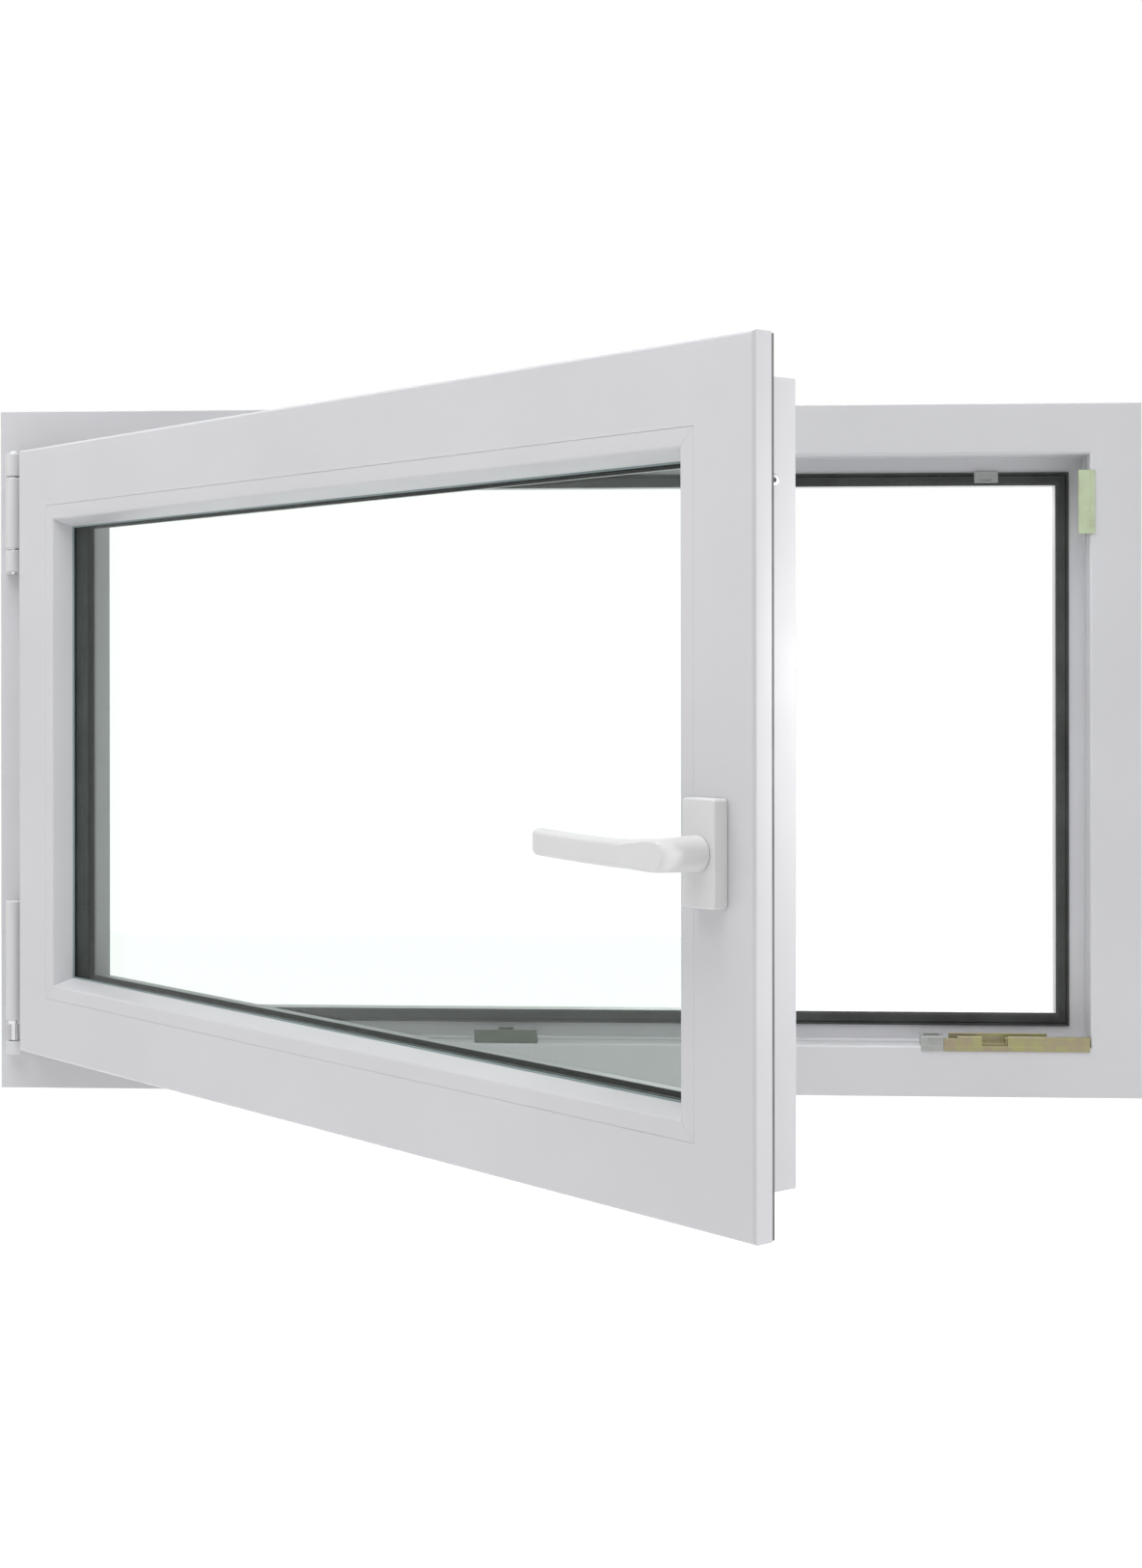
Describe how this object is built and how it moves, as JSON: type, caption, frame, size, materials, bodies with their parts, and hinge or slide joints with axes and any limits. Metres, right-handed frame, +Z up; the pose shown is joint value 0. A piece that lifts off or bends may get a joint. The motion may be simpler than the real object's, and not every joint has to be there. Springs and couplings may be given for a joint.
{
  "type": "tilt and turn casement window",
  "caption": "White tilt-and-turn casement window: mitred frame with keepers, double-glazed sash standing open into the room, lever handle driving locking rods, corner hinge and stay arm.",
  "frame": {"origin": "centre of the outer frame's underside: the middle of its width and of its 60 mm depth", "axes": "+X along the frame from the hinge side to the lock side as seen from the room, +Y out of the room to the weather side, +Z up"},
  "size_m": [1, 0.7868, 0.6],
  "materials": {
    "upvc": "white uPVC, satin gloss",
    "cover_plastic": "white moulded plastic",
    "handle_white": "white powder coat, smooth",
    "white_enamel": "white painted steel",
    "gasket_black": "matt black sealing rubber",
    "gasket_grey": "matt dark grey sealing rubber",
    "grey_plastic": "grey moulded plastic",
    "clear_glass": "clear float glass with a faint green tint",
    "spacer_aluminium": "mill finish, dull",
    "galvanised_steel": "galvanised sheet steel",
    "bright_steel": "bright zinc plated steel",
    "keeper_zinc": "die-cast zinc, yellow-green chromate"
  },
  "bodies": {
    "outer_frame": {"frame_head": "upvc", "frame_sill": "upvc", "frame_jamb_hinge": "upvc", "frame_jamb_lock": "upvc", "frame_steel_head": "galvanised_steel", "frame_steel_sill": "galvanised_steel", "frame_stop_gasket": "gasket_black", "head_vent_clip": "grey_plastic", "drain_cap_hinge": "cover_plastic", "drain_cap_lock": "cover_plastic", "jamb_keeper": "keeper_zinc", "head_keeper": "keeper_zinc", "sill_keeper": "keeper_zinc", "tilt_keeper": "keeper_zinc", "tilt_keeper_end": "grey_plastic", "lower_hinge_bearing": "white_enamel", "upper_hinge_bearing": "white_enamel", "upper_hinge_pin": "bright_steel"},
    "turning_bushes": {"corner_swivel_bush": "bright_steel", "stay_bush": "grey_plastic"},
    "sash": {"sash_rail_top": "upvc", "sash_rail_bottom": "upvc", "sash_stile_hinge": "upvc", "sash_stile_lock": "upvc", "sash_steel_top": "galvanised_steel", "sash_steel_bottom": "galvanised_steel", "sash_gasket": "gasket_grey", "sash_gasket_hinge": "gasket_grey", "glazing_bead_top": "upvc", "glazing_bead_bottom": "upvc", "glazing_bead_hinge": "upvc", "glazing_bead_lock": "upvc", "glazing_gasket_inner": "gasket_black", "glazing_gasket_outer": "gasket_black", "glass_pane_inner": "clear_glass", "glass_pane_outer": "clear_glass", "glass_spacer": "spacer_aluminium", "glass_edge_seal": "gasket_black", "setting_block_hinge": "grey_plastic", "setting_block_lock": "grey_plastic", "corner_hinge_pin": "bright_steel", "sash_hinge_strap": "bright_steel", "hinge_strap_cover": "cover_plastic", "stay_guide": "bright_steel", "corner_drive_top": "bright_steel", "corner_drive_bottom": "bright_steel", "lock_faceplate": "bright_steel", "gearbox_case": "bright_steel", "rosette_base": "grey_plastic", "rosette_cover": "handle_white", "handle_screw_upper": "bright_steel", "handle_screw_lower": "bright_steel"},
    "stay": {"stay_arm": "bright_steel", "stay_cover": "cover_plastic"},
    "lever": {"handle_lever": "handle_white"},
    "pinion": {"gearbox_pinion": "bright_steel"},
    "lock_rod": {"drive_rod_lock": "bright_steel"},
    "top_rod": {"drive_rod_top": "bright_steel"},
    "bottom_rod": {"drive_rod_bottom": "bright_steel"}
  },
  "joints": [
    {"name": "sash_turn", "type": "hinge", "parent": "outer_frame", "child": "turning_bushes", "pos_m": [-0.484, -0.042, 0.041], "axis": [0, 0, -1], "range_deg": [-47, 43]},
    {"name": "sash_tilt", "type": "hinge", "parent": "turning_bushes", "child": "sash", "pos_m": [-0.484, -0.042, 0.041], "axis": [0.682, -0.7314, 0], "range_deg": [0, 7]},
    {"name": "stay_swing", "type": "hinge", "parent": "turning_bushes", "child": "stay", "pos_m": [-0.484, -0.042, 0.508], "axis": [0, 0, -1], "range_deg": [0, 17]},
    {"name": "handle_turn", "type": "hinge", "parent": "sash", "child": "lever", "pos_m": [0.13184, -0.71267, 0.261], "axis": [-0.7314, -0.682, 0], "range_deg": [-90, 90]},
    {"name": "pinion_turn", "type": "hinge", "parent": "sash", "child": "pinion", "pos_m": [0.15232, -0.69358, 0.261], "axis": [-0.7314, -0.682, 0], "range_deg": [-90, 90]},
    {"name": "lock_rod_slide", "type": "slide", "parent": "sash", "child": "lock_rod", "axis": [0, 0, 1], "range_m": [-0.0181, 0.0181]},
    {"name": "top_rod_slide", "type": "slide", "parent": "sash", "child": "top_rod", "axis": [-0.682, 0.7314, 0], "range_m": [-0.0181, 0.0181]},
    {"name": "bottom_rod_slide", "type": "slide", "parent": "sash", "child": "bottom_rod", "axis": [0.682, -0.7314, 0], "range_m": [-0.0181, 0.0181]}
  ],
  "couplings": [
    {"joint": "stay_swing", "follows": "sash_tilt", "ratio": 2.4},
    {"joint": "pinion_turn", "follows": "handle_turn", "ratio": 1},
    {"joint": "lock_rod_slide", "follows": "handle_turn", "m_per_rad": 0.011459},
    {"joint": "top_rod_slide", "follows": "handle_turn", "m_per_rad": 0.011459},
    {"joint": "bottom_rod_slide", "follows": "handle_turn", "m_per_rad": 0.011459}
  ]
}
